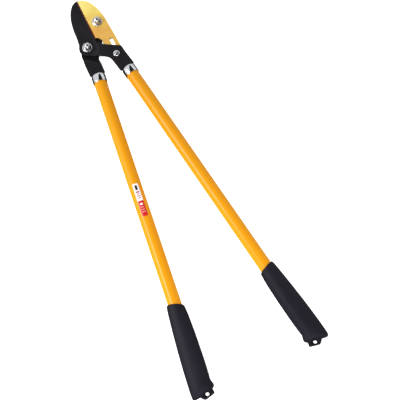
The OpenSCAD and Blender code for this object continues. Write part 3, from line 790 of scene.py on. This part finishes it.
# grips: rows of (share of the length, distance in mm, rubber outwards, inwards, and above and below)
gripSettings = {
    "lengths": {"left": 147.0, "right": 140.0},
    "rows": [(0, 0, 1.8, 1.8, 1.8), (0, 2, 2.8, 2.8, 2.6), (0.18, 0, 5.3, 4.5, 3.4),
             (0.4, 0, 7.6, 5.2, 4.2),
             (0.62, 0, 9.2, 5.3, 4.9), (0.8, 0, 10, 4.7, 5.2), (1, -18, 10.2, 4.1, 5.2),
             (1, -9, 10.3, 6.4, 4.6),
             (1, -5, 10.1, 7, 3.6), (1, -2, 9.2, 5.6, 0.8), (1, 0, 7, 2.5, -5.5)],
    "rimSlant": 15.0, "endSlant": 16.0,
    "stations": 150, "sides": 112,
    # the ridge's height in mm, its angle and width in degrees, and the share of the length where it starts
    "ridge": {"right": 0.85, "left": 0.0}, "ridgeAt": 62.0, "ridgeWide": 13.0, "ridgeFrom": 0.35,
    "seam": 0.22, "seamWide": 2.2,  # the mould's parting line, along the outer and inner sides
    "lug": [(-10, 1), (-2, 9, 3), (15.2, 3, 1.5), (14, -3), (13, -12), (-10, -12)], "lugThick": 9.0,
    "hole": (3.6, 1.2), "holeRadius": 3.0, "pocketRadius": 3.8, "pocketRun": 5.0, "pocketDeep": 1.5,
                "pocketTurn": -19.0,
    "voxel": 0.65, "soften": 5,
}


def monotone(x, y, at):
    # a cubic through the points that never overshoots: slopes are harmonic means of the neighbouring chords
    chord = np.diff(y, axis=0) / np.diff(x)[:, None]
    near = chord[:-1] * chord[1:]
    slope = np.concatenate([chord[:1],
                            np.where(near > 0, 2 * near / np.where(near > 0, chord[:-1] + chord[1:], 1), 0),
                            chord[-1:]])
    k = np.clip(np.searchsorted(x, at, "right") - 1, 0, len(x) - 2)
    h = (x[k + 1] - x[k])[:, None]
    t = ((at - x[k]) / (x[k + 1] - x[k]))[:, None]
    return (y[k] * (1 + 2 * t) * (1 - t) ** 2 + slope[k] * h * t * (1 - t) ** 2
            + y[k + 1] * t * t * (3 - 2 * t) - slope[k + 1] * h * t * t * (1 - t))


def gripSurface(side, s, handle):
    # rings (outer or inner rubber + tube) cos a, (upper rubber + tube) sin a, with the rim and the closed
    # end slanted
    length = s["lengths"][side]
    rows = np.array(s["rows"], float)
    known = rows[:, 0] * length + rows[:, 1]
    # stations crowd towards the closed end, as the sine of an even share
    along = length * np.sin(np.linspace(0, math.pi / 2, s["stations"]))
    outwards, inwards, upper = (c[:, None] for c in monotone(known, rows[:, 2:5], along).T)
    a = around(s["sides"])[None, :]
    t = (along / length)[:, None]
    rubber = np.where(np.cos(a) > 0, inwards, outwards)
    away = np.degrees(np.arctan2(np.sin(a), np.cos(a)))
    ridge = s["ridge"][side] * np.exp(-((away - s["ridgeAt"]) / s["ridgeWide"]) ** 2)
    ridge = ridge * np.clip((t - s["ridgeFrom"]) / 0.12, 0, 1) * np.clip((0.93 - t) / 0.08, 0, 1)
    lines = (np.exp(-(away / s["seamWide"]) ** 2)
             + np.exp(-((180 - np.abs(away)) / s["seamWide"]) ** 2))
    swell = ridge + s["seam"] * lines * np.clip((0.97 - t) / 0.05, 0, 1)
    r = handle["tubeRadius"]
    x = (r + rubber + swell) * np.cos(a)
    up = (r + upper + swell) * np.sin(a)
    slant = (math.tan(math.radians(s["rimSlant"])) * np.maximum(0, 1 - t / 0.4)
             - math.tan(math.radians(s["endSlant"])) * np.maximum(0, 5 * t - 4))
    y = handle["length"] - length + along[:, None] + x * slant
    ends = [np.stack([0 * x[[k]], 0 * x[[k]] + y[k].mean(), 0 * x[[k]]], -1) for k in (0, -1)]
    return np.concatenate([ends[0], np.stack([x, y, up], -1), ends[1]]) * mm


def gripMesh(side, s, handle):
    at, deep = np.array(s["hole"]) + (0, handle["length"]), s["lugThick"] / 2
    lug = rounded(s["lug"], closed=True) + (0, handle["length"])
    a, turn = around(48), math.radians(s["pocketTurn"])
    hole = np.stack([np.cos(a), np.sin(a)], -1)
    run = np.where(np.cos(a) > 0, 0.5, -0.5)[:, None] * np.array([s["pocketRun"], 0])
    pocket = (hole * s["pocketRadius"] + run) @ np.array([[math.cos(turn), math.sin(turn)],
                                                          [-math.sin(turn), math.cos(turn)]])
    before, r = handle["length"] - s["lengths"][side] - 20, handle["tubeRadius"]
    rows = np.array([(0, before), (r, before), (r, handle["tubeEnd"]), (0, handle["tubeEnd"])])
    # the bore is cut last, because a cut after it tears the seam of its long wall
    cuts = [prism("hole", ((hole * s["holeRadius"] + at) * mm).tolist(), -20 * mm, 20 * mm),
            prism("pocketAbove", ((pocket + at) * mm).tolist(), (deep - s["pocketDeep"]) * mm,
                  (deep + 7) * mm),
            prism("pocketBelow", ((pocket + at) * mm).tolist(), -(deep + 7) * mm,
                  -(deep - s["pocketDeep"]) * mm),
            ringsAlong("bore", rows)]
    body = gridMesh(side + "Grip", gripSurface(side, s, handle))
    tongue = prism("lug", (lug * mm).tolist(), -deep * mm, deep * mm)
    return withModifiers(body, [boolean("UNION", tongue)] + [boolean("DIFFERENCE", cut) for cut in cuts] + [
        ("REMESH", {"mode": "VOXEL", "voxel_size": s["voxel"] * mm}),
        ("SMOOTH", {"factor": 0.5, "iterations": s["soften"]})])


for gripSide in ("left", "right"):
    addPiece(gripSide + "_grip_moulded",
             onHandle(gripSide, gripMesh(gripSide, gripSettings, handleSettings)),
             gripSide + "_grip", sharp=60.0)
print("grips ready")
